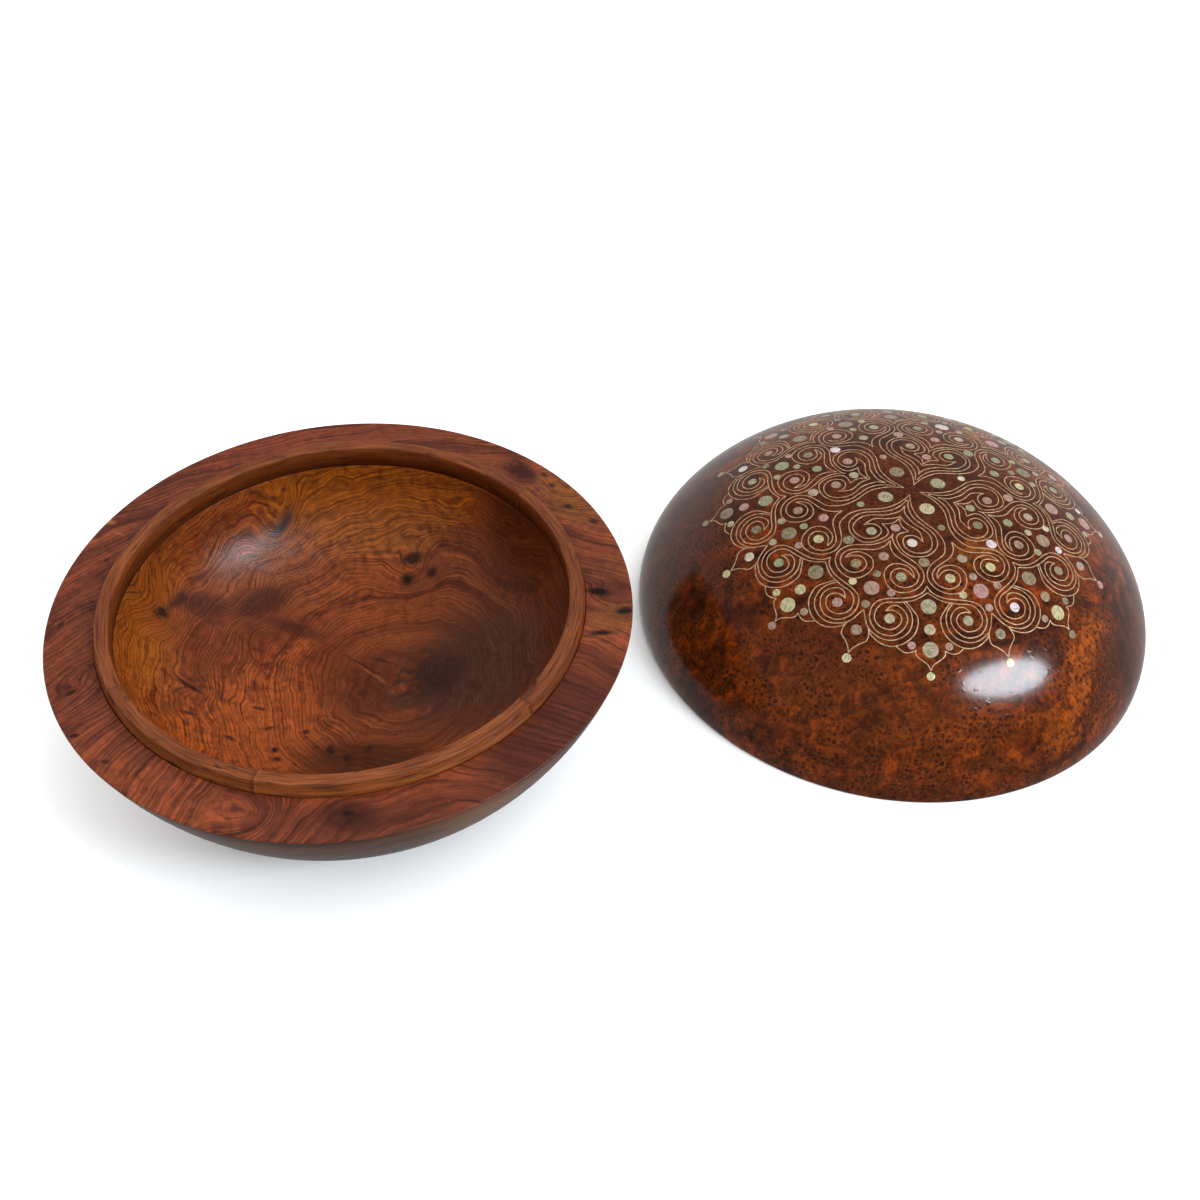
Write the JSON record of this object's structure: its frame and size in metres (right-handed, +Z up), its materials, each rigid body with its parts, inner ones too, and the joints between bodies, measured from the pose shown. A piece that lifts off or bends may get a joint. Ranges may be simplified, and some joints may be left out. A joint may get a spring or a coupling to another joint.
{
  "type": "lidded wooden bowl",
  "caption": "Round turned bowl of burl wood with a flat flange and a raised locating lip, and a domed lid inlaid with shell discs and fine wire scrolls.",
  "frame": {"origin": "centre of the bowl's flat foot, on the surface that the bowl and the lid stand on", "axes": "+Z up along the bowl's axis and the lid's lift; +X towards the side where the lid lies; the front is -Y"},
  "size_m": [0.566, 0.3636, 0.084],
  "materials": {
    "bowl_burl": "red-brown burl with golden patches, hand-polished oil and wax gloss",
    "lip_wood": "lighter orange-brown wood, polished",
    "lid_burl": "dark orange-brown burl full of small eyes, high polish",
    "shell": "mother-of-pearl and abalone, polished flush",
    "inlay_wire": "thin pale wire, filed and polished flush"
  },
  "bodies": {
    "bowl": {"bowl_base": "bowl_burl", "lip_segment_1": "lip_wood", "lip_segment_2": "lip_wood", "lip_segment_3": "lip_wood", "lip_segment_4": "lip_wood", "lip_segment_5": "lip_wood"},
    "lid": {"lid_dome": "lid_burl", "rosette_centre_disc": "shell", "rosette_petal_disc_1": "shell", "lyre_disc_1": "shell", "lyre_eye_disc_1a": "shell", "lyre_eye_disc_1b": "shell", "rosette_petal_disc_2": "shell", "lyre_disc_2": "shell", "lyre_eye_disc_2a": "shell", "lyre_eye_disc_2b": "shell", "rosette_petal_disc_3": "shell", "lyre_disc_3": "shell", "lyre_eye_disc_3a": "shell", "lyre_eye_disc_3b": "shell", "rosette_petal_disc_4": "shell", "lyre_disc_4": "shell", "lyre_eye_disc_4a": "shell", "lyre_eye_disc_4b": "shell", "field_disc_1": "shell", "between_disc_1": "shell", "ogee_disc_1": "shell", "drop_disc_1": "shell", "field_disc_2": "shell", "between_disc_2": "shell", "ogee_disc_2": "shell", "drop_disc_2": "shell", "field_disc_3": "shell", "between_disc_3": "shell", "ogee_disc_3": "shell", "drop_disc_3": "shell", "field_disc_4": "shell", "between_disc_4": "shell", "ogee_disc_4": "shell", "drop_disc_4": "shell", "field_disc_5": "shell", "between_disc_5": "shell", "ogee_disc_5": "shell", "drop_disc_5": "shell", "field_disc_6": "shell", "between_disc_6": "shell", "ogee_disc_6": "shell", "drop_disc_6": "shell", "field_disc_7": "shell", "between_disc_7": "shell", "ogee_disc_7": "shell", "drop_disc_7": "shell", "field_disc_8": "shell", "between_disc_8": "shell", "ogee_disc_8": "shell", "drop_disc_8": "shell"}
  },
  "joints": [
    {"name": "lid_lift", "type": "slide", "parent": "bowl", "child": "lid", "axis": [0, 0, 1], "range_m": [0, 0.2]}
  ]
}
